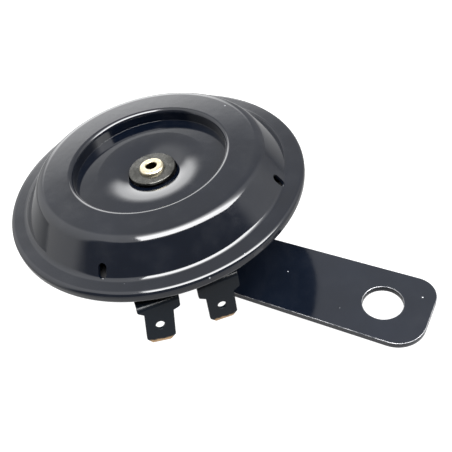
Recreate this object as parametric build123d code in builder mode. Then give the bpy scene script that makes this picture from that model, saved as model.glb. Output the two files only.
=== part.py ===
from build123d import *
import os
from math import atan2, cos, degrees, radians, sin, sqrt, tan

os.makedirs("parts", exist_ok=True)

# Disc horn on a flat strip bracket, in millimetres.
# The origin is the centre of the bracket's fixing hole, on the bracket's front face.
# +Z runs along the horn's axis towards its front, +X along the bracket away from the horn.

# Horn body, heights above the bracket's front face
flange_diameter = 72.0
flange_height = 23.0
crown_height = 6.8
floor_height = 3.9
dish_width = 4.5
dish_depth = 1.8
rim_width = 4.1
wall_run = 5.3
ring_width = 8.2

# Sheets and gaskets
cover_sheet = 0.7
gasket_sheet = 0.2
diaphragm_sheet = 0.3
pan_sheet = 0.8
hem_width = 3.0
hem_bend = 1.1
hem_clearance = 0.05
clamp_width = 2.3
cut_depth = 2.0

# Cover bends, measured on the middle of the sheet
crown_bend = 2.6
foot_bend = 1.9
recess_bend = 0.9
floor_bend = 0.7
dish_bend = 12.0

# Drain slots at the foot of the cover's wall
drain_count = 4
drain_turn = 12.7
drain_length = 3.4
drain_width = 1.9
drain_rise = 1.7

# Diaphragm corrugation
corrugation_depth = 0.4
corrugation_inset = 8.0
corrugation_width = 5.5
corrugation_slope = 1.5

# Rear pan, measured on the middle of the sheet
pan_rim_width = 5.4
upper_step_height = 18.4
lower_step_height = 12.0
wall_draft = 0.6
step_bend = 1.0
cup_bend = 2.4

# Centre fastening of the diaphragm
collar_hole_radius = 6.1
collar_radius = 4.4
washer_radius = 5.7
washer_sheet = 0.6
washer_edge = 0.2
washer_rise = 3.1
rivet_shank_radius = 1.9
rivet_hollow_radius = 1.3
rivet_head_radius = 3.1
rivet_head_height = 0.8
rivet_head_round = 0.7
rivet_mouth_round = 0.3
rivet_fit = 0.05

# Magnet
core_radius = 5.0
core_length = 11.2
air_gap = 0.6
armature_radius = 4.3
armature_collar_lip = 1.0
armature_collar_height = 1.2
armature_well_radius = 3.4
armature_well_roof = 4.0
bobbin_clearance = 0.1
bobbin_wall = 0.9
bobbin_flange = 0.9
bobbin_length = 13.2
bobbin_cup_clearance = 0.1
winding_margin = 0.8
stud_radius = 3.0
stud_length = 10.0
stud_clearance = 0.1
stud_chamfer = 0.6

# Breaker contacts, in a frame turned to face the terminals
terminal_turn = -42.0
arm_sheet = 0.35
arm_gap = 0.3
arm_bore_clearance = 0.6
arm_lead_clearance = 0.6
arm_width = 5.4
arm_nose_margin = 0.7
contact_radius = 1.6
contact_height = 0.9
contact_clearance = 1.9
block_clearance = 0.1
block_depth = 3.6
block_width = 6.0
small_rivet_radius = 1.25
small_rivet_head = 2.2
arm_rivet_head = 1.8
small_rivet_head_height = 0.8
small_rivet_taper = 20.0
rivet_hole_clearance = 0.05

# Terminals and their insulation
terminal_sheet = 0.8
terminal_spacing = 13.3
terminal_side_shift = -2.8
terminal_rivet_radius = 1.5
strap_width = 9.3
strap_root_margin = 0.2
strap_inset = 3.5
strap_bend = 1.2
strap_root_round = 3.0
shoulder_rise = 0.8
shoulder_round = 0.5
blade_width = 6.3
blade_length = 7.6
blade_hole_radius = 1.0
blade_hole_from_tip = 4.4
blade_corner = 1.3
tip_bevel = 0.25
left_drop = 2.35
left_tilt = 13.0
left_lean = 12.2
right_drop = 4.1
right_tilt = 5.0
right_lean = 4.0
outer_insulator_sheet = 1.0
inner_insulator_sheet = 0.7
insulator_depth = 4.8
insulator_clearance = 0.1
insulator_length = 20.0
outer_insulator_margin = 1.0
spigot_radius = 2.3
spigot_clearance = 0.1
strip_sheet = 0.6
strip_radius = 2.9

# Coil leads
lead_radius = 0.35
lead_bend = 1.2
lead_lift = 0.02
lead_tail = 3.3
lead_notch_width = 1.4
lead_turns = (-45.0, 135.0)

# Contact adjustment
adjuster_side = 1.6
adjuster_radius = 1.25
adjuster_clearance = 0.8
adjuster_tail = 2.9
locknut_width = 5.0
locknut_clearance = 0.15
locknut_height = 2.2
slot_width = 0.6
slot_depth = 0.8

# Bracket and its nut
bracket_reach = 56.5
bracket_width = 19.5
bracket_sheet = 1.6
bracket_end = 10.7
bracket_near_round = 6.6
bracket_far_round = 5.2
bracket_hole_radius = 4.6
bracket_stud_clearance = 0.25
spring_washer_radius = 5.6
spring_washer_sheet = 1.6
spring_washer_gap = 0.7
nut_width = 10.0
nut_height = 5.0
nut_bevel = 0.8
nut_bevel_rise = 0.4

# Levels worked out from the sizes above
flange_radius = flange_diameter / 2
foot_radius = flange_radius - rim_width
crown_radius = foot_radius - wall_run
recess_radius = crown_radius - ring_width
sheet_edge_radius = flange_radius - hem_bend - hem_clearance
clamp_radius = sheet_edge_radius - clamp_width
corrugation_outer = clamp_radius - corrugation_inset
corrugation_inner = corrugation_outer - corrugation_width
cover_under = flange_height - cover_sheet
diaphragm_top = cover_under - gasket_sheet
diaphragm_under = diaphragm_top - diaphragm_sheet
pan_flange_top = diaphragm_under - gasket_sheet
pan_flange_under = pan_flange_top - pan_sheet
hem_under = pan_flange_under - cover_sheet
pan_floor = pan_sheet
pan_half = pan_sheet / 2
core_top = pan_floor + core_length
armature_under = core_top + air_gap
bobbin_top = pan_floor + bobbin_length
inner_step_top = upper_step_height + pan_sheet
lower_step_top = lower_step_height + pan_sheet
strip_under = inner_step_top + inner_insulator_sheet
strip_top = strip_under + strip_sheet
arm_top = strip_under - 2 * contact_height
arm_under = arm_top - arm_sheet
washer_top = flange_height + washer_rise
washer_under = washer_top - washer_sheet
terminal_top = upper_step_height - outer_insulator_sheet
terminal_under = terminal_top - terminal_sheet
strap_middle = (terminal_top + terminal_under) / 2
wall_lean = degrees(atan2(wall_run, crown_height))

# Places worked out from the rim inwards
upper_step_radius = flange_radius - pan_rim_width
insulator_outer_radius = upper_step_radius - step_bend - insulator_clearance
insulator_inner_radius = insulator_outer_radius - insulator_depth
terminal_rivet_circle = insulator_outer_radius - insulator_depth / 2
strap_reach = flange_radius - strap_inset
lower_step_radius = insulator_inner_radius - insulator_clearance - step_bend - wall_draft
adjuster_reach = lower_step_radius - pan_half - adjuster_clearance - adjuster_radius
contact_reach = adjuster_reach - adjuster_radius - contact_clearance - contact_radius
arm_nose_radius = contact_radius + arm_nose_margin
block_corner_radius = lower_step_radius - step_bend - block_clearance
block_reach = sqrt(block_corner_radius**2 - (block_width / 2) ** 2) - block_depth / 2
cup_radius = adjuster_reach - locknut_width / 2 - locknut_clearance - step_bend - wall_draft
bobbin_radius = cup_radius - cup_bend - bobbin_cup_clearance
winding_radius = bobbin_radius - winding_margin
lead_start_reach = winding_radius - lead_radius
arm_ring_bore = armature_radius + arm_bore_clearance
arm_ring_radius = lead_start_reach - lead_radius - arm_lead_clearance
armature_collar_radius = arm_ring_bore + armature_collar_lip
left_side = terminal_side_shift - terminal_spacing / 2
right_side = terminal_side_shift + terminal_spacing / 2
left_rivet = (sqrt(terminal_rivet_circle**2 - left_side**2), left_side)
right_rivet = (sqrt(terminal_rivet_circle**2 - right_side**2), right_side)

axis_at = (-bracket_reach, 0, 0)
horn_axis = Axis(axis_at, (0, 0, 1))
section = Plane(origin=axis_at, x_dir=(1, 0, 0), z_dir=(0, -1, 0))


def level(height, turn=0.0):
    """Horizontal plane on the horn's axis, turned about it."""
    return Plane(
        origin=(-bracket_reach, 0, height),
        x_dir=(cos(radians(turn)), sin(radians(turn)), 0),
        z_dir=(0, 0, 1),
    )


def save(part, name):
    """Label one finished piece and write it."""
    part.label = name
    export_step(part, f"parts/{name}.step")


# Front cover: one pressing with a raised ring, hemmed over the pan's edge
cover_half = cover_sheet / 2
hem_middle = hem_bend - cover_half
wall_slip = cover_half * tan(radians((90 - wall_lean) / 2))
floor_middle = flange_height + floor_height - cover_half
dish_radius = collar_hole_radius + dish_width
dish_room = (recess_radius - floor_bend - dish_radius) / tan(atan2(dish_depth, dish_width) / 2)
with BuildPart() as front_cover:
    with BuildSketch(section):
        with BuildLine():
            FilletPolyline(
                (collar_hole_radius, floor_middle - dish_depth),
                (dish_radius, floor_middle),
                (recess_radius + cover_half, floor_middle),
                (recess_radius + cover_half, flange_height + crown_height - cover_half),
                (crown_radius - wall_slip, flange_height + crown_height - cover_half),
                (foot_radius - wall_slip, flange_height - cover_half),
                (flange_radius - cover_half, flange_height - cover_half),
                (flange_radius - cover_half, hem_under + cover_half),
                (flange_radius - hem_width, hem_under + cover_half),
                radius=(
                    min(dish_bend, dish_room),
                    floor_bend,
                    recess_bend,
                    crown_bend,
                    foot_bend,
                    hem_middle,
                    hem_middle,
                ),
            )
        trace(line_width=cover_sheet)
    revolve(axis=horn_axis)
    for step in range(drain_count):
        turn = drain_turn + step * 360 / drain_count
        reach = foot_radius - drain_rise * sin(radians(wall_lean))
        height = flange_height + drain_rise * cos(radians(wall_lean))
        out = (cos(radians(turn)), sin(radians(turn)))
        with BuildSketch(
            Plane(
                origin=(-bracket_reach + reach * out[0], reach * out[1], height),
                x_dir=(-out[1], out[0], 0),
                z_dir=(
                    out[0] * cos(radians(wall_lean)),
                    out[1] * cos(radians(wall_lean)),
                    sin(radians(wall_lean)),
                ),
            )
        ):
            SlotOverall(drain_length, drain_width, rotation=90)
        extrude(amount=cut_depth, both=True, mode=Mode.SUBTRACT)
save(front_cover.part, "front_cover")

# Gaskets on both sides of the diaphragm
with BuildPart() as front_gasket:
    with BuildSketch(level(diaphragm_top)):
        Circle(sheet_edge_radius)
        Circle(clamp_radius, mode=Mode.SUBTRACT)
    extrude(amount=gasket_sheet)
save(front_gasket.part, "front_gasket")

with BuildPart() as rear_gasket:
    with BuildSketch(level(pan_flange_top)):
        Circle(sheet_edge_radius)
        Circle(clamp_radius, mode=Mode.SUBTRACT)
    extrude(amount=gasket_sheet)
save(rear_gasket.part, "rear_gasket")

# Diaphragm: thin sheet with one shallow corrugation
with BuildPart() as diaphragm:
    middle = (diaphragm_top + diaphragm_under) / 2
    with BuildSketch(section):
        with BuildLine():
            Polyline(
                (rivet_shank_radius + rivet_fit, middle),
                (corrugation_inner, middle),
                (corrugation_inner + corrugation_slope, middle - corrugation_depth),
                (corrugation_outer - corrugation_slope, middle - corrugation_depth),
                (corrugation_outer, middle),
                (sheet_edge_radius, middle),
            )
        trace(line_width=diaphragm_sheet)
    revolve(axis=horn_axis)
save(diaphragm.part, "diaphragm")

# Rear pan: drawn cup with two steps, its edge held in the cover's hem
with BuildPart() as rear_pan:
    with BuildSketch(section):
        with BuildLine():
            FilletPolyline(
                (stud_radius + stud_clearance, pan_half),
                (cup_radius, pan_half),
                (cup_radius + wall_draft, lower_step_height + pan_half),
                (lower_step_radius, lower_step_height + pan_half),
                (lower_step_radius + wall_draft, upper_step_height + pan_half),
                (upper_step_radius, upper_step_height + pan_half),
                (upper_step_radius + wall_draft, pan_flange_top - pan_half),
                (sheet_edge_radius, pan_flange_top - pan_half),
                radius=(cup_bend, step_bend, step_bend, step_bend, step_bend, step_bend),
            )
        trace(line_width=pan_sheet)
    revolve(axis=horn_axis)
    with BuildSketch(level(upper_step_height, terminal_turn)):
        with Locations(left_rivet, right_rivet):
            Circle(spigot_radius + spigot_clearance)
    extrude(amount=cut_depth, both=True, mode=Mode.SUBTRACT)
    with BuildSketch(level(lower_step_height, terminal_turn)):
        with Locations((-block_reach, 0)):
            Circle(small_rivet_radius + rivet_hole_clearance)
        with Locations((adjuster_reach, adjuster_side)):
            Circle(adjuster_radius + rivet_hole_clearance)
    extrude(amount=cut_depth, both=True, mode=Mode.SUBTRACT)
save(rear_pan.part, "rear_pan")

# Pole core with its mounting stud, turned from one bar
with BuildPart() as core_stud:
    with BuildSketch(level(pan_floor)):
        Circle(core_radius)
    extrude(amount=core_length)
    with BuildSketch(level(-stud_length)):
        Circle(stud_radius)
    extrude(amount=stud_length + pan_floor)
    chamfer(core_stud.edges().filter_by(GeomType.CIRCLE).sort_by(Axis.Z)[0], stud_chamfer)
save(core_stud.part, "core_stud")

# Coil bobbin with a notch for the leads in its upper flange
bobbin_bore = core_radius + bobbin_clearance
barrel_radius = bobbin_bore + bobbin_wall
with BuildPart() as coil_bobbin:
    with BuildSketch(section):
        with BuildLine():
            Polyline(
                (bobbin_bore, pan_floor),
                (bobbin_radius, pan_floor),
                (bobbin_radius, pan_floor + bobbin_flange),
                (barrel_radius, pan_floor + bobbin_flange),
                (barrel_radius, bobbin_top - bobbin_flange),
                (bobbin_radius, bobbin_top - bobbin_flange),
                (bobbin_radius, bobbin_top),
                (bobbin_bore, bobbin_top),
                close=True,
            )
        make_face()
    revolve(axis=horn_axis)
    for turn in lead_turns:
        with BuildSketch(level(bobbin_top, terminal_turn + turn)):
            with Locations((bobbin_radius, 0)):
                SlotOverall(2 * (bobbin_radius - lead_start_reach) + lead_notch_width, lead_notch_width)
        extrude(amount=-bobbin_flange, mode=Mode.SUBTRACT)
save(coil_bobbin.part, "coil_bobbin")

# Coil winding
with BuildPart() as coil_winding:
    with BuildSketch(level(pan_floor + bobbin_flange)):
        Circle(winding_radius)
        Circle(barrel_radius, mode=Mode.SUBTRACT)
    extrude(amount=bobbin_length - 2 * bobbin_flange)
save(coil_winding.part, "coil_winding")

# Armature: plunger with the collar that opens the contacts
with BuildPart() as armature:
    with BuildSketch(section):
        with BuildLine():
            Polyline(
                (rivet_shank_radius + rivet_fit, diaphragm_under),
                (armature_radius, diaphragm_under),
                (armature_radius, arm_top + arm_gap + armature_collar_height),
                (armature_collar_radius, arm_top + arm_gap + armature_collar_height),
                (armature_collar_radius, arm_top + arm_gap),
                (armature_radius, arm_top + arm_gap),
                (armature_radius, armature_under),
                (armature_well_radius, armature_under),
                (armature_well_radius, diaphragm_under - armature_well_roof),
                (rivet_shank_radius + rivet_fit, diaphragm_under - armature_well_roof),
                close=True,
            )
        make_face()
    revolve(axis=horn_axis)
save(armature.part, "armature")

# Collar and washer under the rivet's head
with BuildPart() as centre_collar:
    with BuildSketch(level(diaphragm_top)):
        Circle(collar_radius)
        Circle(rivet_shank_radius + rivet_fit, mode=Mode.SUBTRACT)
    extrude(amount=washer_under - diaphragm_top)
save(centre_collar.part, "centre_collar")

with BuildPart() as centre_washer:
    with BuildSketch(level(washer_under)):
        Circle(washer_radius)
        Circle(rivet_shank_radius + rivet_fit, mode=Mode.SUBTRACT)
    extrude(amount=washer_sheet)
    edge = centre_washer.edges().filter_by(GeomType.CIRCLE).group_by(Axis.Z)[-1].sort_by(SortBy.RADIUS)[-1]
    fillet(edge, washer_edge)
save(centre_washer.part, "centre_washer")

# Hollow rivet: rolled head in front, flared tail in the armature's well
tail_top = diaphragm_under - armature_well_roof
with BuildPart() as centre_rivet:
    with BuildSketch(section) as profile:
        with BuildLine():
            Polyline(
                (rivet_hollow_radius, tail_top - rivet_head_height),
                (rivet_head_radius, tail_top - rivet_head_height),
                (rivet_head_radius, tail_top),
                (rivet_shank_radius, tail_top),
                (rivet_shank_radius, washer_top),
                (rivet_head_radius, washer_top),
                (rivet_head_radius, washer_top + rivet_head_height),
                (rivet_hollow_radius, washer_top + rivet_head_height),
                close=True,
            )
        make_face()
        fillet(profile.vertices().group_by(Axis.Y)[-1].sort_by(Axis.X)[-1], rivet_head_round)
        fillet(profile.vertices().group_by(Axis.Y)[-1].sort_by(Axis.X)[0], rivet_mouth_round)
    revolve(axis=horn_axis)
save(centre_rivet.part, "centre_rivet")

# Insulating block that carries the contact arm
with BuildPart() as contact_block:
    with BuildSketch(level(lower_step_top, terminal_turn)):
        with Locations((-block_reach, 0)):
            Rectangle(block_depth, block_width)
            Circle(small_rivet_radius + rivet_hole_clearance, mode=Mode.SUBTRACT)
    extrude(amount=arm_under - lower_step_top)
save(contact_block.part, "contact_block")

# Contact arm: spring strip with a ring round the armature
with BuildPart() as contact_arm:
    with BuildSketch(level(arm_under, terminal_turn)):
        with BuildLine():
            Polyline(
                (-block_reach - block_depth / 2, -arm_width / 2),
                (contact_reach - arm_nose_radius, -arm_nose_radius),
                (contact_reach - arm_nose_radius, arm_nose_radius),
                (-block_reach - block_depth / 2, arm_width / 2),
                close=True,
            )
        make_face()
        Circle(arm_ring_radius)
        with Locations((contact_reach - arm_nose_radius, 0)):
            Rectangle(2 * arm_nose_radius, 2 * arm_nose_radius)
        with Locations((contact_reach, 0)):
            Circle(arm_nose_radius)
        Circle(arm_ring_bore, mode=Mode.SUBTRACT)
        with Locations((-block_reach, 0)):
            Circle(small_rivet_radius + rivet_hole_clearance, mode=Mode.SUBTRACT)
    extrude(amount=arm_sheet)
save(contact_arm.part, "contact_arm")

# Contact points, closed at rest
with BuildPart() as moving_contact:
    with BuildSketch(level(arm_top, terminal_turn)):
        with Locations((contact_reach, 0)):
            Circle(contact_radius)
    extrude(amount=contact_height)
save(moving_contact.part, "moving_contact")

with BuildPart() as fixed_contact:
    with BuildSketch(level(arm_top + contact_height, terminal_turn)):
        with Locations((contact_reach, 0)):
            Circle(contact_radius)
    extrude(amount=contact_height)
save(fixed_contact.part, "fixed_contact")

# Strip that joins the fixed contact to the right terminal's rivet
with BuildPart() as contact_strip:
    with BuildSketch(level(strip_under, terminal_turn)):
        with Locations(right_rivet, (contact_reach, 0)):
            Circle(strip_radius)
        make_hull()
        with Locations(right_rivet):
            Circle(terminal_rivet_radius + rivet_hole_clearance, mode=Mode.SUBTRACT)
    extrude(amount=strip_sheet)
save(contact_strip.part, "contact_strip")

# Rivet through the arm, its block and the pan's lower step
with BuildPart() as contact_rivet:
    with BuildSketch(level(lower_step_height, terminal_turn)):
        with Locations((-block_reach, 0)):
            Circle(small_rivet_radius)
    extrude(amount=arm_top - lower_step_height)
    with BuildSketch(level(arm_top, terminal_turn)):
        with Locations((-block_reach, 0)):
            Circle(arm_rivet_head)
    extrude(amount=small_rivet_head_height, taper=small_rivet_taper)
    with BuildSketch(level(lower_step_height, terminal_turn)):
        with Locations((-block_reach, 0)):
            Circle(arm_rivet_head)
    extrude(amount=-small_rivet_head_height, taper=small_rivet_taper)
save(contact_rivet.part, "contact_rivet")

# Insulators inside and outside the pan's upper step
def insulator_outline(margin):
    """Curved strip that follows the pan's step under both terminals."""
    Circle(insulator_outer_radius + margin)
    Circle(insulator_inner_radius, mode=Mode.SUBTRACT)
    with Locations((terminal_rivet_circle, terminal_side_shift)):
        Rectangle(terminal_rivet_circle, insulator_length + 2 * margin, mode=Mode.INTERSECT)


with BuildPart() as inner_insulator:
    with BuildSketch(level(inner_step_top, terminal_turn)):
        insulator_outline(0)
    extrude(amount=inner_insulator_sheet)
    with BuildSketch(level(upper_step_height, terminal_turn)):
        with Locations(left_rivet, right_rivet):
            Circle(spigot_radius)
    extrude(amount=pan_sheet)
    with BuildSketch(level(upper_step_height, terminal_turn)):
        with Locations(left_rivet, right_rivet):
            Circle(terminal_rivet_radius + rivet_hole_clearance)
    extrude(amount=pan_sheet + inner_insulator_sheet, mode=Mode.SUBTRACT)
save(inner_insulator.part, "inner_insulator")

with BuildPart() as outer_insulator:
    with BuildSketch(level(terminal_top, terminal_turn)):
        insulator_outline(outer_insulator_margin)
        with Locations(left_rivet, right_rivet):
            Circle(terminal_rivet_radius + rivet_hole_clearance, mode=Mode.SUBTRACT)
    extrude(amount=outer_insulator_sheet)
save(outer_insulator.part, "outer_insulator")


def make_terminal(rivet, drop, tilt, lean):
    """Flat strap bent down behind the rim and narrowed to a push-on blade."""
    out = Vector(1, 0, 0).rotate(Axis.Z, terminal_turn)
    across = out.rotate(Axis.Z, 90)
    down = out * sin(radians(tilt)) - Vector(0, 0, cos(radians(tilt)))
    foot = Vector(*axis_at) + across * rivet[1]
    bend_at = foot + out * strap_reach + Vector(0, 0, strap_middle)
    flap = drop + blade_length + blade_corner
    half_strap = strap_width / 2
    half_blade = blade_width / 2
    tip_level = -drop - blade_length
    flap_view = Plane(origin=bend_at, x_dir=across, z_dir=across.cross(-down))
    leant = Location((0, 0, 0), (0, 0, -lean))
    leant_up = Axis((0, 0, 0), (sin(radians(lean)), cos(radians(lean)), 0))
    blank = 2 * strap_width
    shoulders = (
        (-half_strap, shoulder_rise - drop),
        (-half_blade, -drop),
        (half_blade, -drop),
        (half_strap, shoulder_rise - drop),
    )
    with BuildPart() as terminal:
        with BuildSketch(Plane(origin=foot, x_dir=out, z_dir=-across)):
            with BuildLine():
                FilletPolyline(
                    (rivet[0] - small_rivet_head - strap_root_margin, strap_middle),
                    (strap_reach, strap_middle),
                    (strap_reach + flap * sin(radians(tilt)), strap_middle - flap * cos(radians(tilt))),
                    radius=strap_bend,
                )
            trace(line_width=terminal_sheet)
        extrude(amount=half_strap + half_blade, both=True)
        with BuildSketch(flap_view) as outline:
            Polygon(
                (half_strap, 0),
                (half_strap, blank),
                (-half_strap, blank),
                (-half_strap, 0),
                *[Vector(*corner).rotate(Axis.Z, -lean) for corner in shoulders],
                align=None,
            )
            fillet(outline.vertices().group_by(leant_up)[1], shoulder_round)
            with Locations(leant):
                Polygon(
                    (-half_blade, -drop + shoulder_rise),
                    (-half_blade, tip_level + blade_corner),
                    (blade_corner - half_blade, tip_level),
                    (half_blade - blade_corner, tip_level),
                    (half_blade, tip_level + blade_corner),
                    (half_blade, -drop + shoulder_rise),
                    align=None,
                )
                with Locations((0, tip_level + blade_hole_from_tip)):
                    Circle(blade_hole_radius, mode=Mode.SUBTRACT)
        extrude(amount=blank, both=True, mode=Mode.INTERSECT)
        with BuildSketch(level(terminal_top, terminal_turn)):
            with Locations(rivet):
                Circle(terminal_rivet_radius + rivet_hole_clearance)
        extrude(amount=-terminal_sheet, mode=Mode.SUBTRACT)
        fillet(terminal.edges().filter_by(Axis.Z), strap_root_round)
        blade_axis = Axis(bend_at, down.rotate(Axis((0, 0, 0), flap_view.z_dir), -lean))
        tip = terminal.edges().filter_by(GeomType.LINE).group_by(blade_axis)[-1].sort_by(SortBy.LENGTH)[-2:]
        chamfer(tip, tip_bevel)
    return terminal.part


save(make_terminal(left_rivet, left_drop, left_tilt, left_lean), "terminal_left")
save(make_terminal(right_rivet, right_drop, right_tilt, right_lean), "terminal_right")

# Rivets through the terminals, the insulators and the pan
with BuildPart() as terminal_rivets:
    for place, top in ((left_rivet, strip_under), (right_rivet, strip_top)):
        with BuildSketch(level(terminal_under, terminal_turn)):
            with Locations(place):
                Circle(terminal_rivet_radius)
        extrude(amount=top - terminal_under)
        with BuildSketch(level(top, terminal_turn)):
            with Locations(place):
                Circle(small_rivet_head)
        extrude(amount=small_rivet_head_height, taper=small_rivet_taper)
        with BuildSketch(level(terminal_under, terminal_turn)):
            with Locations(place):
                Circle(small_rivet_head)
        extrude(amount=-small_rivet_head_height, taper=small_rivet_taper)
save(terminal_rivets.part, "terminal_rivets")

# Coil leads, from the winding to the left terminal's rivet and to the contact arm
turned = level(0, terminal_turn)
winding_top = bobbin_top - bobbin_flange
lead_corner = lead_start_reach * cos(radians(lead_turns[0]))
lead_level = strip_under + lead_radius + lead_lift
arm_lead_level = arm_top + lead_radius + lead_lift
arm_lead_side = arm_rivet_head + lead_radius
lead_routes = (
    (
        (lead_corner, -lead_corner, winding_top),
        (lead_corner, -lead_corner, arm_top),
        (left_rivet[0] - small_rivet_head - lead_tail, left_side, lead_level),
        (left_rivet[0] - small_rivet_head, left_side, lead_level),
    ),
    (
        (-lead_corner, lead_corner, winding_top),
        (-lead_corner, lead_corner, arm_lead_level),
        (lead_tail - block_reach, arm_lead_side + lead_radius, arm_lead_level),
        (-block_reach, arm_lead_side, arm_lead_level),
    ),
)
with BuildPart() as coil_leads:
    for route in lead_routes:
        with BuildLine():
            points = [turned.from_local_coords(Vector(*point)) for point in route]
            lead = FilletPolyline(*points, radius=lead_bend)
        with BuildSketch(Plane(origin=lead @ 0, z_dir=lead % 0)):
            Circle(lead_radius)
        sweep(path=lead)
save(coil_leads.part, "coil_leads")

# Adjusting screw under the contact strip, with its lock nut
screw_end = lower_step_height - adjuster_tail
with BuildPart() as adjusting_screw:
    with BuildSketch(level(screw_end, terminal_turn)):
        with Locations((adjuster_reach, adjuster_side)):
            Circle(adjuster_radius)
    extrude(amount=strip_under - screw_end)
    with BuildSketch(level(screw_end, terminal_turn)):
        with Locations((adjuster_reach, adjuster_side)):
            Rectangle(2 * adjuster_radius, slot_width)
    extrude(amount=slot_depth, mode=Mode.SUBTRACT)
save(adjusting_screw.part, "adjusting_screw")

with BuildPart() as adjusting_locknut:
    with BuildSketch(level(lower_step_height, terminal_turn)):
        with Locations((adjuster_reach, adjuster_side)):
            RegularPolygon(locknut_width / 2, 6, major_radius=False, rotation=30)
            Circle(adjuster_radius + rivet_hole_clearance, mode=Mode.SUBTRACT)
    extrude(amount=-locknut_height)
save(adjusting_locknut.part, "adjusting_locknut")

# Bracket: flat strip, round at the stud and with rounded corners at its free end
with BuildPart() as bracket:
    with BuildSketch(Plane.XY.offset(-bracket_sheet)) as strip:
        with Locations(((bracket_end - bracket_reach) / 2, 0)):
            Rectangle(bracket_end + bracket_reach, bracket_width)
        fillet(strip.vertices().group_by(Axis.X)[-1].sort_by(Axis.Y)[0], bracket_near_round)
        fillet(strip.vertices().group_by(Axis.X)[-1].sort_by(Axis.Y)[-1], bracket_far_round)
        with Locations((-bracket_reach, 0)):
            Circle(bracket_width / 2)
            Circle(stud_radius + bracket_stud_clearance, mode=Mode.SUBTRACT)
        Circle(bracket_hole_radius, mode=Mode.SUBTRACT)
    extrude(amount=bracket_sheet)
save(bracket.part, "bracket")

# Spring washer and nut that hold the bracket against the pan
with BuildPart() as spring_washer:
    with BuildSketch(level(-bracket_sheet - spring_washer_sheet)):
        Circle(spring_washer_radius)
        Circle(stud_radius + stud_clearance, mode=Mode.SUBTRACT)
        with Locations((0, -spring_washer_radius)):
            Rectangle(spring_washer_gap, 2 * spring_washer_radius, mode=Mode.SUBTRACT)
    extrude(amount=spring_washer_sheet)
save(spring_washer.part, "spring_washer")

nut_top = -bracket_sheet - spring_washer_sheet
nut_under = nut_top - nut_height
nut_corner = nut_width / 2 / cos(radians(30))
with BuildPart() as bracket_nut:
    with BuildSketch(level(nut_under)):
        RegularPolygon(nut_width / 2, 6, major_radius=False)
    extrude(amount=nut_height)
    with BuildSketch(section):
        with BuildLine():
            Polyline(
                (stud_radius + rivet_hole_clearance, nut_top),
                (nut_corner, nut_top),
                (nut_corner, nut_under + nut_bevel_rise),
                (nut_corner - nut_bevel, nut_under),
                (stud_radius + rivet_hole_clearance, nut_under),
                close=True,
            )
        make_face()
    revolve(axis=horn_axis, mode=Mode.INTERSECT)
save(bracket_nut.part, "bracket_nut")
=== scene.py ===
import math

import bmesh
import bpy
from mathutils import Matrix, Vector


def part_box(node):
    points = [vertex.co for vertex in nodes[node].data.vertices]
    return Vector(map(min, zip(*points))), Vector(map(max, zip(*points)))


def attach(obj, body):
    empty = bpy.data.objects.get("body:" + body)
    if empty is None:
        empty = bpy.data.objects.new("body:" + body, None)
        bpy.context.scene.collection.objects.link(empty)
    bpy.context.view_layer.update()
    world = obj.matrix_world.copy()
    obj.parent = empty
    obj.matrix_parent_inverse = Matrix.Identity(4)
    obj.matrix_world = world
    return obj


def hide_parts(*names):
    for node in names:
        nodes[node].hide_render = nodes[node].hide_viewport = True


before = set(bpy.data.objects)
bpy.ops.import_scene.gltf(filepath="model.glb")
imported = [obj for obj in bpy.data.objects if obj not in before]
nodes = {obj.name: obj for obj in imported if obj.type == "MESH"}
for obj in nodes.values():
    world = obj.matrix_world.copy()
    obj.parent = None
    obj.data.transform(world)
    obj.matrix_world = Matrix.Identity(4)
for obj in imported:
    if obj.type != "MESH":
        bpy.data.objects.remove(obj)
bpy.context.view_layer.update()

# Pole core and mounting stud.
# One turned steel bar: the upper part is the magnet's pole, the lower part the M6 stud that carries the bracket.
# Both are zinc plated; the thread is rolled.
axis_x = -0.0565


def placed(name, data):
    """A new object in the scene that holds the given mesh, lamp or lens."""
    made = bpy.data.objects.new(name, data)
    bpy.context.scene.collection.objects.link(made)
    return made


def new_finish(name, colour, metallic, roughness):
    """A material with one shader, and the handles needed to build on it."""
    made = bpy.data.materials.new(name)
    made.use_nodes = True
    tree = made.node_tree
    shader = tree.nodes["Principled BSDF"]
    shader.inputs["Base Color"].default_value = (*colour, 1.0)
    shader.inputs["Metallic"].default_value = metallic
    shader.inputs["Roughness"].default_value = roughness
    return made, tree, shader


def spot(tree, offset=(0.0, 0.0, 0.0)):
    """Where a point lies on the horn, in metres, measured from the given place."""
    place = tree.nodes.new("ShaderNodeTexCoord")
    shift = tree.nodes.new("ShaderNodeVectorMath")
    shift.operation = "SUBTRACT"
    tree.links.new(place.outputs["Object"], shift.inputs[0])
    shift.inputs[1].default_value = offset
    return shift.outputs["Vector"]


def noise(tree, where, size, detail=2.0, rough=0.5):
    """Noise with grains of the given size in metres."""
    scaled = tree.nodes.new("ShaderNodeVectorMath")
    scaled.operation = "MULTIPLY"
    tree.links.new(where, scaled.inputs[0])
    scaled.inputs[1].default_value = (1.0 / size,) * 3
    made = tree.nodes.new("ShaderNodeTexNoise")
    made.inputs["Scale"].default_value = 1.0
    made.inputs["Detail"].default_value = detail
    made.inputs["Roughness"].default_value = rough
    tree.links.new(scaled.outputs["Vector"], made.inputs["Vector"])
    return made.outputs["Fac"]


def spread(tree, value, low, high, to_low=0.0, to_high=1.0, smooth=False):
    """The value stretched from one range to another."""
    made = tree.nodes.new("ShaderNodeMapRange")
    made.interpolation_type = "SMOOTHSTEP" if smooth else "LINEAR"
    made.inputs["From Min"].default_value = low
    made.inputs["From Max"].default_value = high
    made.inputs["To Min"].default_value = to_low
    made.inputs["To Max"].default_value = to_high
    tree.links.new(value, made.inputs["Value"])
    return made.outputs["Result"]


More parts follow.
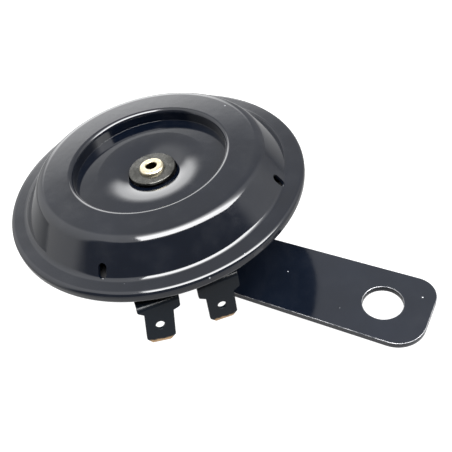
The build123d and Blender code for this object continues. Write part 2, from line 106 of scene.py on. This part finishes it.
def reckon(tree, kind, a, b):
    """One sum of two values, each a number or another node's result."""
    made = tree.nodes.new("ShaderNodeMath")
    made.operation = kind
    for socket, value in zip(made.inputs, (a, b)):
        if isinstance(value, (int, float)):
            socket.default_value = value
        else:
            tree.links.new(value, socket)
    return made.outputs["Value"]


def tint(tree, amount, one, two):
    """A colour between two, by the amount."""
    made = tree.nodes.new("ShaderNodeMix")
    made.data_type = "RGBA"
    tree.links.new(amount, made.inputs["Factor"])
    for socket, colour in (("A_Color", one), ("B_Color", two)):
        target = next(s for s in made.inputs if s.identifier == socket)
        if isinstance(colour, tuple):
            target.default_value = (*colour, 1.0)
        else:
            tree.links.new(colour, target)
    return next(s for s in made.outputs if s.identifier == "Result_Color")


def emboss(tree, shader, height, depth):
    """Raises and sinks the surface by a height, to a depth in metres."""
    bump = tree.nodes.new("ShaderNodeBump")
    bump.inputs["Strength"].default_value = 1.0
    bump.inputs["Distance"].default_value = depth
    tree.links.new(height, bump.inputs["Height"])
    tree.links.new(bump.outputs["Normal"], shader.inputs["Normal"])


def plated_steel(name, colour, roughness):
    """Plated or plain metal: a fine grain and a faint cloudy tone."""
    made, tree, shader = new_finish(name, colour, 1.0, roughness)
    where = spot(tree)
    cloud = noise(tree, where, 0.0025, 3.0)
    tone = spread(tree, cloud, 0.35, 0.7)
    shade = tint(tree, tone, tuple(0.72 * c for c in colour), tuple(min(1.0, 1.12 * c) for c in colour))
    tree.links.new(shade, shader.inputs["Base Color"])
    grain = noise(tree, where, 0.0002, 2.0)
    uneven = spread(tree, grain, 0.3, 0.7, roughness - 0.06, roughness + 0.12)
    tree.links.new(uneven, shader.inputs["Roughness"])
    emboss(tree, shader, grain, 0.000006)
    return made


def finish_node(name, material):
    """Gives a CAD node its finish."""
    node = nodes[name]
    node.data.materials.clear()
    node.data.materials.append(material)


def ease(name, width, worn=None):
    """Takes the sharpness off a CAD node's edges, which may show a worn finish that also paints a highlight along
    them.
    """
    node = nodes[name]
    join = node.modifiers.new("join", "WELD")
    join.merge_threshold = 0.000002
    flats = node.modifiers.new("flats", "DECIMATE")
    flats.decimate_type = "DISSOLVE"
    flats.angle_limit = math.radians(0.5)
    bevel = node.modifiers.new("eased", "BEVEL")
    bevel.width = width
    bevel.segments = 3
    bevel.limit_method = "ANGLE"
    bevel.angle_limit = math.radians(40.0)
    bevel.harden_normals = True
    if worn is not None:
        node.data.materials.append(worn)
        bevel.material = len(node.data.materials) - 1


zinc = plated_steel("zinc_plating", (0.62, 0.62, 0.6), 0.32)
stud_low, core_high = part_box("core_stud")
core_radius = 0.005
stud_radius = 0.003
stud_chamfer = 0.0006
thread_pitch = 0.001
thread_depth = 0.0006
thread_end = -0.0006
thread_flank = 1.35
shoulder = 0.0008
edge_support = 0.0001
sides = 72
level_step = thread_pitch / 12.0


def stud_reach(height, angle):
    """Radius of the threaded stud at a height and angle: ridges along a helix, faded at the chamfered tip."""
    turn = (height / thread_pitch - angle / math.tau) % 1.0
    ridge = min(1.0, thread_flank * abs(2.0 * turn - 1.0))
    tip = min(1.0, (height - stud_low.z) / stud_chamfer)
    limit = stud_radius - stud_chamfer * (1.0 - tip)
    fade = min(1.0, max(0.0, (thread_end - height) / thread_pitch))
    return min(limit, stud_radius - thread_depth * (1.0 - ridge) * fade)


thread = bmesh.new()
courses = []
for level in range(int((thread_end - stud_low.z) / level_step) + 2):
    height = stud_low.z + level * level_step
    courses.append([(stud_reach(height, math.tau * i / sides), height) for i in range(sides)])
for radius, height in (
    (stud_radius, shoulder - edge_support / 2.0),
    (stud_radius, shoulder),
    (core_radius, shoulder),
    (core_radius, shoulder + edge_support),
    (core_radius, core_high.z - edge_support),
    (core_radius, core_high.z),
):
    courses.append([(radius, height)] * sides)
rings = []
for course in courses:
    ring = []
    for i, (radius, height) in enumerate(course):
        angle = math.tau * i / sides
        ring.append(thread.verts.new((axis_x + radius * math.cos(angle), radius * math.sin(angle), height)))
    rings.append(ring)
for lower, upper in zip(rings, rings[1:]):
    for i in range(sides):
        j = (i + 1) % sides
        thread.faces.new((lower[i], lower[j], upper[j], upper[i]))
thread.faces.new(rings[0][::-1])
thread.faces.new(rings[-1])
stud_mesh = bpy.data.meshes.new("threaded_stud")
thread.to_mesh(stud_mesh)
thread.free()
stud_mesh.shade_smooth()
stud_mesh.set_sharp_from_angle(angle=math.radians(40.0))
stud_mesh.materials.append(zinc)
stud = placed("threaded_stud", stud_mesh)
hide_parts("core_stud")
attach(stud, "root")

# Coil on its bobbin.
# A moulded nylon bobbin pressed over the pole, wound with enamelled copper wire in neat layers.
# The two ends of the wire leave through notches in the upper flange.


def wound_wire(name):
    """Enamelled copper laid in close turns round the horn's axis."""
    made, tree, shader = new_finish(name, (0.5, 0.17, 0.055), 1.0, 0.3)
    where = spot(tree, (axis_x, 0.0, 0.0))
    turns = tree.nodes.new("ShaderNodeTexWave")
    turns.wave_type = "BANDS"
    turns.bands_direction = "Z"
    turns.inputs["Scale"].default_value = 600.0
    turns.inputs["Distortion"].default_value = 0.4
    turns.inputs["Detail"].default_value = 1.0
    tree.links.new(where, turns.inputs["Vector"])
    shade = tint(tree, turns.outputs["Fac"], (0.2, 0.05, 0.015), (0.6, 0.22, 0.08))
    tree.links.new(shade, shader.inputs["Base Color"])
    emboss(tree, shader, turns.outputs["Fac"], 0.00012)
    return made


def moulded(name, colour, roughness):
    """Moulded plastic with a slight mottle and a fine matt skin."""
    made, tree, shader = new_finish(name, colour, 0.0, roughness)
    where = spot(tree)
    cloud = noise(tree, where, 0.003, 3.0)
    tone = spread(tree, cloud, 0.35, 0.65)
    shade = tint(tree, tone, tuple(0.8 * c for c in colour), tuple(1.15 * c for c in colour))
    tree.links.new(shade, shader.inputs["Base Color"])
    skin = noise(tree, where, 0.00025, 2.0)
    emboss(tree, shader, skin, 0.00001)
    return made


copper = wound_wire("enamelled_copper")
nylon = moulded("natural_nylon", (0.6, 0.57, 0.49), 0.5)
finish_node("coil_bobbin", nylon)
finish_node("coil_winding", copper)
finish_node("coil_leads", copper)

# Contacts inside the pan.
# A spring strip with a ring round the armature carries one contact point; the other is on a brass strip.
# A small laminated block holds the strip's far end off the pan, and one rivet goes through all three.
spring = plated_steel("spring_strip", (0.42, 0.41, 0.39), 0.28)
tungsten = plated_steel("contact_points", (0.4, 0.4, 0.42), 0.22)
brass = plated_steel("bright_brass", (0.72, 0.53, 0.24), 0.24)
phenolic = moulded("brown_laminate", (0.1, 0.042, 0.02), 0.42)
for name, material in (
    ("contact_arm", spring),
    ("moving_contact", tungsten),
    ("fixed_contact", tungsten),
    ("contact_strip", brass),
    ("contact_rivet", brass),
    ("contact_block", phenolic),
    ("inner_insulator", phenolic),
    ("outer_insulator", phenolic),
):
    finish_node(name, material)

# Terminals.
# Two brass straps with a dark plated skin, each bent down behind the rim and narrowed to a push-on blade.
# Brass rivets through the laminate hold them to the pan; the cut ends of the blades are worn back to bare brass.


def blade_end(name):
    """The middle of a blade's cut end, and the way the blade points."""
    return {
        "terminal_left": ((-0.03845, -0.0318, 0.00752), (0.021992, -0.304167, -0.952365)),
        "terminal_right": ((-0.02956, -0.02017, 0.00537), (0.017935, -0.110016, -0.993768)),
    }[name]


def distance_along(tree, where, way):
    """How far a point lies along a direction."""
    made = tree.nodes.new("ShaderNodeVectorMath")
    made.operation = "DOT_PRODUCT"
    tree.links.new(where, made.inputs[0])
    made.inputs[1].default_value = way
    return made.outputs["Value"]


def dark_terminal(name):
    """Dark plated brass that turns to bare brass along the cut end of the blade."""
    made, tree, shader = new_finish("dark_plating_" + name, (0.003, 0.0036, 0.005), 0.0, 0.2)
    shader.inputs["Specular IOR Level"].default_value = 0.17
    where = spot(tree)
    scuff = noise(tree, where, 0.0012, 4.0, 0.6)
    tip, way = blade_end(name)
    past_tip = distance_along(tree, spot(tree, tip), way)
    edge = reckon(tree, "ADD", past_tip, reckon(tree, "MULTIPLY", scuff, 0.0009))
    worn = spread(tree, edge, -0.0006, 0.0002, smooth=True)
    shade = tint(tree, worn, (0.0022, 0.0034, 0.0052), (0.42, 0.28, 0.16))
    tree.links.new(shade, shader.inputs["Base Color"])
    tree.links.new(spread(tree, worn, 0.0, 1.0, 0.0, 0.9), shader.inputs["Metallic"])
    grain = noise(tree, where, 0.0003, 3.0)
    tree.links.new(spread(tree, grain, 0.3, 0.7, 0.14, 0.26), shader.inputs["Roughness"])
    emboss(tree, shader, grain, 0.000008)
    return made


for name in ("terminal_left", "terminal_right"):
    finish_node(name, dark_terminal(name))
    ease(name, 0.00012)
finish_node("terminal_rivets", brass)

# Adjusting screw and its lock nut.
# The screw sets the gap of the contacts from outside; it is locked by a small nut and sealed with red varnish.
finish_node("adjusting_screw", zinc)
finish_node("adjusting_locknut", zinc)
seal_low, seal_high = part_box("adjusting_screw")
seal_rise = 0.0009
seal_radius = 0.0017
seal_flatness = 0.42
seal_lobes = 5.0
seal_lobe_size = 0.09
seal_turn = 1.3
seal_at = Vector(((seal_low.x + seal_high.x) / 2.0, (seal_low.y + seal_high.y) / 2.0, seal_low.z + seal_rise))
drop = bmesh.new()
bmesh.ops.create_icosphere(drop, subdivisions=5, radius=seal_radius)
for point in drop.verts:
    way = point.co.normalized()
    lobe = math.sin(seal_lobes * math.atan2(way.y, way.x) + seal_turn) * (1.0 - way.z * way.z)
    swell = 1.0 + seal_lobe_size * lobe
    point.co = seal_at + Vector((point.co.x * swell, point.co.y * swell, point.co.z * seal_flatness))
drop_mesh = bpy.data.meshes.new("sealing_varnish")
drop.to_mesh(drop_mesh)
drop.free()
drop_mesh.shade_smooth()
varnish, varnish_tree, varnish_shader = new_finish("red_varnish", (0.32, 0.012, 0.008), 0.0, 0.18)
varnish_cloud = noise(varnish_tree, spot(varnish_tree), 0.0008, 3.0)
varnish_tone = spread(varnish_tree, varnish_cloud, 0.35, 0.7)
varnish_shade = tint(varnish_tree, varnish_tone, (0.2, 0.006, 0.005), (0.42, 0.02, 0.012))
varnish_tree.links.new(varnish_shade, varnish_shader.inputs["Base Color"])
emboss(varnish_tree, varnish_shader, varnish_cloud, 0.00002)
drop_mesh.materials.append(varnish)
seal = placed("sealing_varnish", drop_mesh)
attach(seal, "root")

# Rear pan.
# A cup drawn from steel sheet in two steps and stove enamelled black, inside and out.
# Its edge is gripped in the hem of the front cover.


def black_enamel(name, colour, roughness, peel=0.000004, specks=0.0, dulled=0.6):
    """Glossy black enamel on steel: a slight ripple, a blue-black body, dulled patches and a few dust nibs."""
    made, tree, shader = new_finish(name, colour, 0.0, roughness)
    where = spot(tree)
    ripple = noise(tree, where, 0.0016, 1.0, 0.4)
    cloud = noise(tree, where, 0.012, 3.0, 0.55)
    tone = spread(tree, cloud, 0.3, 0.7)
    shade = tint(tree, tone, tuple(0.85 * c for c in colour), tuple(1.2 * c for c in colour))
    if specks:
        dust = tree.nodes.new("ShaderNodeTexVoronoi")
        dust.feature = "F1"
        dust.inputs["Scale"].default_value = 250.0
        tree.links.new(where, dust.inputs["Vector"])
        rare = tree.nodes.new("ShaderNodeSeparateColor")
        tree.links.new(dust.outputs["Color"], rare.inputs["Color"])
        kept = spread(tree, rare.outputs["Red"], 0.86, 0.88)
        close = spread(tree, dust.outputs["Distance"], 0.035, 0.05, 1.0, 0.0)
        nib = reckon(tree, "MULTIPLY", kept, close)
        shade = tint(tree, reckon(tree, "MULTIPLY", nib, specks), shade, (0.35, 0.36, 0.38))
    haze = noise(tree, where, 0.006, 4.0, 0.6)
    dusted = spread(tree, haze, 0.46, 0.8, 0.0, dulled, smooth=True)
    shade = tint(tree, dusted, shade, (0.006, 0.0065, 0.008))
    tree.links.new(shade, shader.inputs["Base Color"])
    tree.links.new(spread(tree, haze, 0.3, 0.75, roughness - 0.03, roughness + 0.05), shader.inputs["Roughness"])
    emboss(tree, shader, ripple, peel)
    return made


gloss_black = black_enamel("gloss_black_enamel", (0.0007, 0.0014, 0.0034), 0.08, specks=0.4, dulled=0.35)
pan_black = black_enamel("black_enamel_pan", (0.006, 0.0062, 0.0075), 0.2)
finish_node("rear_pan", pan_black)

# Diaphragm with the armature.
# A thin spring steel disc between two paper gaskets; the soft iron armature hangs from its centre.
# Collar, plain washer and a hollow rivet hold them together and show in the middle of the cover.
gasket = moulded("gasket_paper", (0.05, 0.04, 0.032), 0.8)
finish_node("front_gasket", gasket)
finish_node("rear_gasket", gasket)
finish_node("diaphragm", plated_steel("dull_spring_steel", (0.05, 0.05, 0.052), 0.5))
finish_node("armature", plated_steel("soft_iron", (0.3, 0.29, 0.27), 0.4))
finish_node("centre_collar", black_enamel("black_collar", (0.004, 0.004, 0.005), 0.35))


def turned_steel(name):
    """Plain steel with fine rings left by turning, dull and slightly stained."""
    made, tree, shader = new_finish(name, (0.12, 0.12, 0.115), 1.0, 0.24)
    where = spot(tree, (axis_x, 0.0, 0.0))
    rings = tree.nodes.new("ShaderNodeTexWave")
    rings.wave_type = "RINGS"
    rings.rings_direction = "Z"
    rings.inputs["Scale"].default_value = 900.0
    rings.inputs["Distortion"].default_value = 1.6
    rings.inputs["Detail"].default_value = 2.0
    rings.inputs["Detail Scale"].default_value = 3.0
    tree.links.new(where, rings.inputs["Vector"])
    stain = noise(tree, where, 0.0018, 4.0, 0.6)
    ground = tint(tree, spread(tree, stain, 0.35, 0.7), (0.05, 0.05, 0.046), (0.105, 0.104, 0.096))
    lined = tint(tree, spread(tree, rings.outputs["Fac"], 0.2, 0.9, 0.0, 0.5), ground, (0.03, 0.03, 0.028))
    tree.links.new(lined, shader.inputs["Base Color"])
    tree.links.new(spread(tree, stain, 0.3, 0.7, 0.18, 0.3), shader.inputs["Roughness"])
    emboss(tree, shader, rings.outputs["Fac"], 0.000008)
    return made


def levelled(tree, where):
    """The point brought down to height zero, so that only its place in plan counts."""
    made = tree.nodes.new("ShaderNodeVectorMath")
    made.operation = "MULTIPLY"
    tree.links.new(where, made.inputs[0])
    made.inputs[1].default_value = (1.0, 1.0, 0.0)
    return made.outputs["Vector"]


def pale_brass(name):
    """Pale brass, a little stained, with painted shade inside the rivet's bore."""
    made, tree, shader = new_finish(name, (0.86, 0.8, 0.62), 1.0, 0.3)
    stain = noise(tree, spot(tree), 0.0006, 3.0)
    clean = tint(tree, spread(tree, stain, 0.35, 0.7), (0.46, 0.41, 0.28), (0.6, 0.55, 0.44))
    reach = tree.nodes.new("ShaderNodeVectorMath")
    reach.operation = "LENGTH"
    tree.links.new(levelled(tree, spot(tree, (axis_x, 0.0, 0.0))), reach.inputs[0])
    # painted shade: the brass turns dark brown inside the hollow bore of the rivet
    bore_shade = spread(tree, reach.outputs["Value"], 0.00125, 0.0016, 1.0, 0.0, smooth=True)
    tree.links.new(tint(tree, bore_shade, clean, (0.045, 0.03, 0.01)), shader.inputs["Base Color"])
    emboss(tree, shader, stain, 0.00001)
    return made


finish_node("centre_washer", turned_steel("turned_washer"))
finish_node("centre_rivet", pale_brass("pale_brass"))

# Front cover.
# One pressing of 0.7 mm steel with a raised ring round a shallow recess, stove enamelled in deep gloss black.
# Its rim is hemmed over gaskets, diaphragm and pan, and small slots at the foot of the ring let water out.
cover_low, cover_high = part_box("front_cover")
cover_sheet = 0.0007
rim_width = 0.0041
wall_run = 0.0053
ring_width = 0.0082
hem_width = 0.003
collar_hole = 0.0061
dish_width = 0.0035
dish_depth = 0.0015
crown_rise = 0.0068
recess_rise = 0.0036
dish_bend = 0.0175
floor_bend = 0.0004
recess_bend = 0.0007
crown_bend = 0.0026
foot_bend = 0.0019
hem_bend = 0.00075
around = 512
rim_radius = (cover_high.y - cover_low.y) / 2.0
foot_radius = rim_radius - rim_width
crown_radius = foot_radius - wall_run
recess_radius = crown_radius - ring_width
rim_level = cover_high.z - crown_rise
wall_lean = math.atan2(crown_radius - foot_radius, crown_rise)


def bent_line(corners, turn_step=math.radians(5.0), lead=0.00006):
    """A line through corners of (x, y, bend), with arcs in fine steps and a short lead into each straight."""
    line = [Vector(corners[0][:2])]
    for before, corner, after in zip(corners, corners[1:], corners[2:]):
        here = Vector(corner[:2])
        way_in = (here - Vector(before[:2])).normalized()
        way_out = (Vector(after[:2]) - here).normalized()
        turn = math.atan2(way_in.x * way_out.y - way_in.y * way_out.x, way_in.dot(way_out))
        start = here - way_in * corner[2] * math.tan(abs(turn) / 2.0)
        spoke = Vector((way_in.y, -way_in.x)) * math.copysign(corner[2], turn)
        steps = max(4, math.ceil(abs(turn) / turn_step))
        line.append(start - way_in * lead)
        for step in range(steps + 1):
            line.append(start - spoke + Matrix.Rotation(turn * step / steps, 2) @ spoke)
        line.append(line[-1] + way_out * lead)
    line.append(Vector(corners[-1][:2]))
    return line


def beside(line, offset):
    """The line moved sideways, to the left of its run."""
    moved = []
    for i, here in enumerate(line):
        run = (line[min(i + 1, len(line) - 1)] - here).normalized() + (here - line[max(i - 1, 0)]).normalized()
        moved.append(here + Vector((-run.y, run.x)).normalized() * offset)
    return moved


def turned(name, loop, segments):
    """A closed outline of (radius, height) points turned round the horn's axis."""
    made = bpy.data.meshes.new(name)
    form = bmesh.new()
    rings = []
    for step in range(segments):
        angle = math.tau * step / segments
        out = (math.cos(angle), math.sin(angle))
        rings.append([form.verts.new((axis_x + out[0] * r, out[1] * r, z)) for r, z in loop])
    for ring, following in zip(rings, rings[1:] + rings[:1]):
        for i in range(len(loop)):
            j = (i + 1) % len(loop)
            form.faces.new((ring[i], following[i], following[j], ring[j]))
    bmesh.ops.recalc_face_normals(form, faces=form.faces)
    form.to_mesh(made)
    form.free()
    return placed(name, made)


def cut_out(piece, cutter):
    """Takes one form out of another and shades what is left smooth between its sharp edges."""
    tool = piece.modifiers.new("cut", "BOOLEAN")
    tool.operation = "DIFFERENCE"
    tool.solver = "EXACT"
    tool.object = cutter
    bpy.context.view_layer.update()
    cut = piece.evaluated_get(bpy.context.evaluated_depsgraph_get())
    final = bpy.data.meshes.new_from_object(cut)
    piece.modifiers.clear()
    old, piece.data = piece.data, final
    bpy.data.meshes.remove(old)
    bpy.data.objects.remove(cutter)
    final.shade_smooth()
    final.set_sharp_from_angle(angle=math.radians(35.0))


half = cover_sheet / 2.0
wall_slip = half * math.tan((math.pi / 2.0 + wall_lean) / 2.0)
sheet_line = bent_line(
    [
        (collar_hole, rim_level + recess_rise - half - dish_depth, 0.0),
        (collar_hole + dish_width, rim_level + recess_rise - half, dish_bend),
        (recess_radius + half, rim_level + recess_rise - half, floor_bend),
        (recess_radius + half, cover_high.z - half, recess_bend),
        (crown_radius - wall_slip, cover_high.z - half, crown_bend),
        (foot_radius - wall_slip, rim_level - half, foot_bend),
        (rim_radius - half, rim_level - half, hem_bend),
        (rim_radius - half, cover_low.z + half, hem_bend),
        (rim_radius - hem_width, cover_low.z + half, 0.0),
    ]
)
# the side that doesn't show keeps every third point of its bends
outside = beside(sheet_line, half)
inside = beside(sheet_line, -half)
inside = inside[:1] + inside[2:-2:3] + inside[-1:]
cover = turned("enamelled_cover", outside + inside[::-1], around)

drain_length = 0.0034
drain_width = 0.0019
drain_rise = 0.0017
drain_depth = 0.002
first_drain = math.radians(12.7)
drain_count = 4


def drain_frame(step):
    """Where a drain slot lies: its centre on the wall, across it, up the wall, and out of it."""
    angle = first_drain + math.tau * step / drain_count
    out = Vector((math.cos(angle), math.sin(angle), 0.0))
    face = (out * math.cos(wall_lean) - Vector((0.0, 0.0, math.sin(wall_lean)))).normalized()
    along = Vector((-out.y, out.x, 0.0))
    rise = face.cross(along)
    reach = foot_radius + drain_rise * math.sin(wall_lean)
    centre = out * reach + Vector((axis_x, 0.0, rim_level + drain_rise * math.cos(wall_lean)))
    return centre, along, rise, face


def stadium(length, width, steps=12):
    """The outline of a slot with round ends, its length along y."""
    straight = (length - width) / 2.0
    points = []
    for sign in (1.0, -1.0):
        for i in range(steps + 1):
            angle = math.pi * i / steps + (0.0 if sign > 0.0 else math.pi)
            points.append((math.cos(angle) * width / 2.0, math.sin(angle) * width / 2.0 + sign * straight))
    return points


slots = bmesh.new()
slot_line = stadium(drain_length, drain_width)
for step in range(drain_count):
    centre, along, rise, face = drain_frame(step)
    inner, outer = (
        [slots.verts.new(centre + along * x + rise * y + face * depth) for x, y in slot_line]
        for depth in (-drain_depth, drain_depth)
    )
    slots.faces.new(inner[::-1])
    slots.faces.new(outer)
    for i in range(len(inner)):
        j = (i + 1) % len(inner)
        slots.faces.new((inner[i], inner[j], outer[j], outer[i]))
bmesh.ops.recalc_face_normals(slots, faces=slots.faces)
slot_mesh = bpy.data.meshes.new("drain_slots")
slots.to_mesh(slot_mesh)
slots.free()
cut_out(cover, placed("drain_slots", slot_mesh))
cover.data.materials.clear()
cover.data.materials.append(gloss_black)
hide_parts("front_cover")
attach(cover, "root")

# Enamel beads at the drain slots.
# Wet enamel runs to the lower end of each slot and sets there as a small glossy bead.
bead_radius = 0.0004
bead_overlap = 0.4
bead_sink = 0.00012
bead_breadth = 1.5
bead_height = 0.7
bead_ripple = 0.00004
bead_ripple_turn = 9000.0
beads = bmesh.new()
for step in range(drain_count):
    centre, along, rise, face = drain_frame(step)
    foot = centre - rise * (drain_length / 2.0 + bead_radius * bead_overlap) - face * bead_sink
    lie = Matrix((along * bead_breadth, rise, face * bead_height)).transposed().to_4x4()
    bmesh.ops.create_icosphere(beads, subdivisions=3, radius=bead_radius, matrix=Matrix.Translation(foot) @ lie)
for point in beads.verts:
    point.co.z += bead_ripple * math.sin(point.co.x * bead_ripple_turn)
bead_mesh = bpy.data.meshes.new("enamel_beads")
beads.to_mesh(bead_mesh)
beads.free()
bead_mesh.shade_smooth()
bead_mesh.materials.append(gloss_black)
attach(placed("enamel_beads", bead_mesh), "root")

# Bracket, spring washer and nut.
# A flat strip of black enamelled steel, clamped to the stud by a zinc plated nut over a split spring washer.
# Its free end has rounded corners and the hole for the vehicle's bolt.


def worn_and_highlit_edge(name, finish, bare, rub):
    """Finish rubbed thin along an edge, so that the metal shows in uneven lengths; the light bare metal is also a
    painted highlight along the edge.
    """
    made, tree, shader = new_finish(name, finish, 0.0, 0.25)
    rubbed = noise(tree, spot(tree), 0.004, 4.0, 0.6)
    through = spread(tree, rubbed, rub - 0.12, rub + 0.12, smooth=True)
    tree.links.new(tint(tree, through, finish, bare), shader.inputs["Base Color"])
    tree.links.new(through, shader.inputs["Metallic"])
    return made


finish_node(
    "bracket",
    black_enamel("black_enamel_bracket", (0.0019, 0.003, 0.0058), 0.11, peel=0.000006, specks=0.8, dulled=0.25),
)
# the bracket's edge bevels get the rubbed finish: partly real wear, partly a painted highlight along the edge
ease("bracket", 0.00018, worn_and_highlit_edge("rubbed_and_highlit_bracket_edge", (0.02, 0.022, 0.028), (0.26, 0.26, 0.27), 0.5))
finish_node("spring_washer", zinc)
finish_node("bracket_nut", zinc)
ease("spring_washer", 0.00012)
ease("bracket_nut", 0.0001)

# Studio.
# A pale floor just under the stud, a soft strip light overhead, and pale walls and ceiling all round.
# The side towards the viewer is left dark, as behind a photographer, and shows in the gloss as a dark band.
floor_gap = 0.0002
floor_reach = 3.0
dark_side = math.radians(305.0)


def level_way(angle):
    """A level direction, by its angle from the way the bracket points."""
    return (math.cos(angle), math.sin(angle), 0.0)


floor_level = stud_low.z - floor_gap
floor_mesh = bpy.data.meshes.new("studio_floor")
floor_corners = [(x * floor_reach, y * floor_reach, floor_level) for x, y in ((-1, -1), (1, -1), (1, 1), (-1, 1))]
floor_mesh.from_pydata(floor_corners, [], [(0, 1, 2, 3)])
floor_paint, floor_tree, floor_shader = new_finish("pale_paper", (0.2, 0.2, 0.2), 0.0, 0.9)
floor_at = spot(floor_tree, (axis_x, 0.0, 0.0))
floor_tone = tint(floor_tree, noise(floor_tree, floor_at, 0.004), (0.09, 0.09, 0.09), (0.11, 0.11, 0.11))
floor_tree.links.new(floor_tone, floor_shader.inputs["Base Color"])
floor_shader.inputs["Emission Color"].default_value = (1.0, 1.0, 1.0, 1.0)
# the glow that the horn picks up, a little stronger on the viewer's side
nearer = distance_along(floor_tree, floor_at, level_way(dark_side))
lit = spread(floor_tree, nearer, 0.0, 0.055, 0.2, 0.34, smooth=True)
looked_at = floor_tree.nodes.new("ShaderNodeLightPath").outputs["Is Camera Ray"]
floor_tree.links.new(reckon(floor_tree, "MAXIMUM", lit, looked_at), floor_shader.inputs["Emission Strength"])
floor_mesh.materials.append(floor_paint)
placed("studio_floor", floor_mesh)

# the strip is turned in plan and hangs off to the side, by shares of its height
strip_height = 0.6
strip_length = 2.13 * strip_height
strip_width = 1.1 * strip_height
strip_spin = math.radians(30.0)
strip_aside = (0.905, 0.003)
strip_shift = 0.26
strip_radiance = 22.0
strip_lamp = bpy.data.lights.new("overhead_strip", "AREA")
strip_lamp.shape = "RECTANGLE"
strip_lamp.size, strip_lamp.size_y = strip_length, strip_width
strip_lamp.energy = strip_radiance * math.pi * strip_length * strip_width
strip = placed("overhead_strip", strip_lamp)
strip.location = (
    axis_x + (strip_aside[0] - strip_shift * math.sin(strip_spin)) * strip_height,
    (strip_aside[1] + strip_shift * math.cos(strip_spin)) * strip_height,
    rim_level + strip_height,
)
strip.rotation_euler.z = strip_spin
strip_lamp.use_nodes = True
strip_tree = strip_lamp.node_tree
strip_at = strip_tree.nodes.new("ShaderNodeNewGeometry").outputs["Parametric"]
strip_fade = spread(strip_tree, distance_along(strip_tree, strip_at, (0.0, 1.0, 0.0)), 0.5, 1.0, 1.0, 0.0)
strip_fade = reckon(strip_tree, "POWER", strip_fade, 3.0)
strip_tree.links.new(strip_fade, strip_tree.nodes["Emission"].inputs["Strength"])

world = bpy.data.worlds.new("studio")
bpy.context.scene.world = world
world.use_nodes = True
sky = world.node_tree
sky.nodes.clear()
sky_out = sky.nodes.new("ShaderNodeOutputWorld")
sky_light = sky.nodes.new("ShaderNodeBackground")
sky.links.new(sky_light.outputs["Background"], sky_out.inputs["Surface"])
sky_at = sky.nodes.new("ShaderNodeTexCoord").outputs["Generated"]
sky_plan = sky.nodes.new("ShaderNodeVectorMath")
sky_plan.operation = "NORMALIZE"
sky.links.new(levelled(sky, sky_at), sky_plan.inputs[0])
sky_height = distance_along(sky, sky_at, (0.0, 0.0, 1.0))


def sky_side(angle, low, high, to_low=0.0, to_high=1.0):
    """A share that changes as the view turns towards an angle; low and high are cosines of the angle left."""
    facing = distance_along(sky, sky_plan.outputs["Vector"], level_way(angle))
    return spread(sky, facing, low, high, to_low, to_high, smooth=True)


def blend(amount, one, two):
    """A brightness between two, by the amount."""
    first = reckon(sky, "MULTIPLY", one, reckon(sky, "SUBTRACT", 1.0, amount))
    return reckon(sky, "ADD", first, reckon(sky, "MULTIPLY", two, amount))


dim_side = math.radians(107.0)
sweep_side = math.radians(135.0)
sweep_light = 4.8
dark_light = 0.31
# pale walls that brighten upwards, with a dimmer panel behind the horn
wall = spread(sky, sky_height, 0.0, 0.9, 1.15, 2.2)
wall = reckon(sky, "MULTIPLY", wall, sky_side(dim_side, 0.52, 0.87, 1.0, 0.5))
# a soft bright patch low on the far wall, which lights the far shoulder of the ring
sweep = sky_side(sweep_side, 0.925, 0.99)
sweep = reckon(sky, "MULTIPLY", sweep, spread(sky, sky_height, 0.6, 0.45, smooth=True))
sweep = reckon(sky, "MULTIPLY", sweep, spread(sky, sky_height, 0.0, 0.08))
wall = reckon(sky, "ADD", wall, reckon(sky, "MULTIPLY", sweep, sweep_light))
# the dark side reaches up to where the ceiling starts
dark = sky_side(dark_side, 0.18, 0.42)
dark = reckon(sky, "MULTIPLY", dark, spread(sky, sky_height, 0.7, 0.78, 1.0, 0.0, smooth=True))
seen = sky.nodes.new("ShaderNodeLightPath").outputs["Is Camera Ray"]
sky.links.new(blend(seen, blend(dark, wall, dark_light), 1.0), sky_light.inputs["Strength"])
sky_light.inputs["Color"].default_value = (1.0, 1.0, 1.0, 1.0)

# Camera.
# It looks down on the horn from the front at about 44 degrees, a little rolled, as the photograph does.
azimuth, elevation, roll = (math.radians(a) for a in (38.3046, 44.1097, -13.8073))
across = Vector((math.cos(azimuth), math.sin(azimuth), 0.0))
level = math.cos(elevation)
back = Vector((math.sin(azimuth) * level, -math.cos(azimuth) * level, math.sin(elevation)))
above = back.cross(across)
right = across * math.cos(roll) + above * math.sin(roll)
up = -across * math.sin(roll) + above * math.cos(roll)
# distances from the middle of the rim, in rim radii
stand_off, aside, below = 4.083798, 0.476718, 0.325344
eye = rim_radius * (back * stand_off + right * aside - up * below) + Vector((axis_x, 0.0, rim_level))
lens = bpy.data.cameras.new("camera")
lens.sensor_width = 36.0
lens.lens = 48.305
lens.sensor_fit = "HORIZONTAL"
lens.clip_start = 0.01
lens.clip_end = 20.0
camera = placed("camera", lens)
camera.matrix_world = Matrix((right, up, back)).transposed().to_4x4()
camera.location = eye
bpy.context.scene.camera = camera
bpy.context.scene.view_settings.view_transform = "Standard"
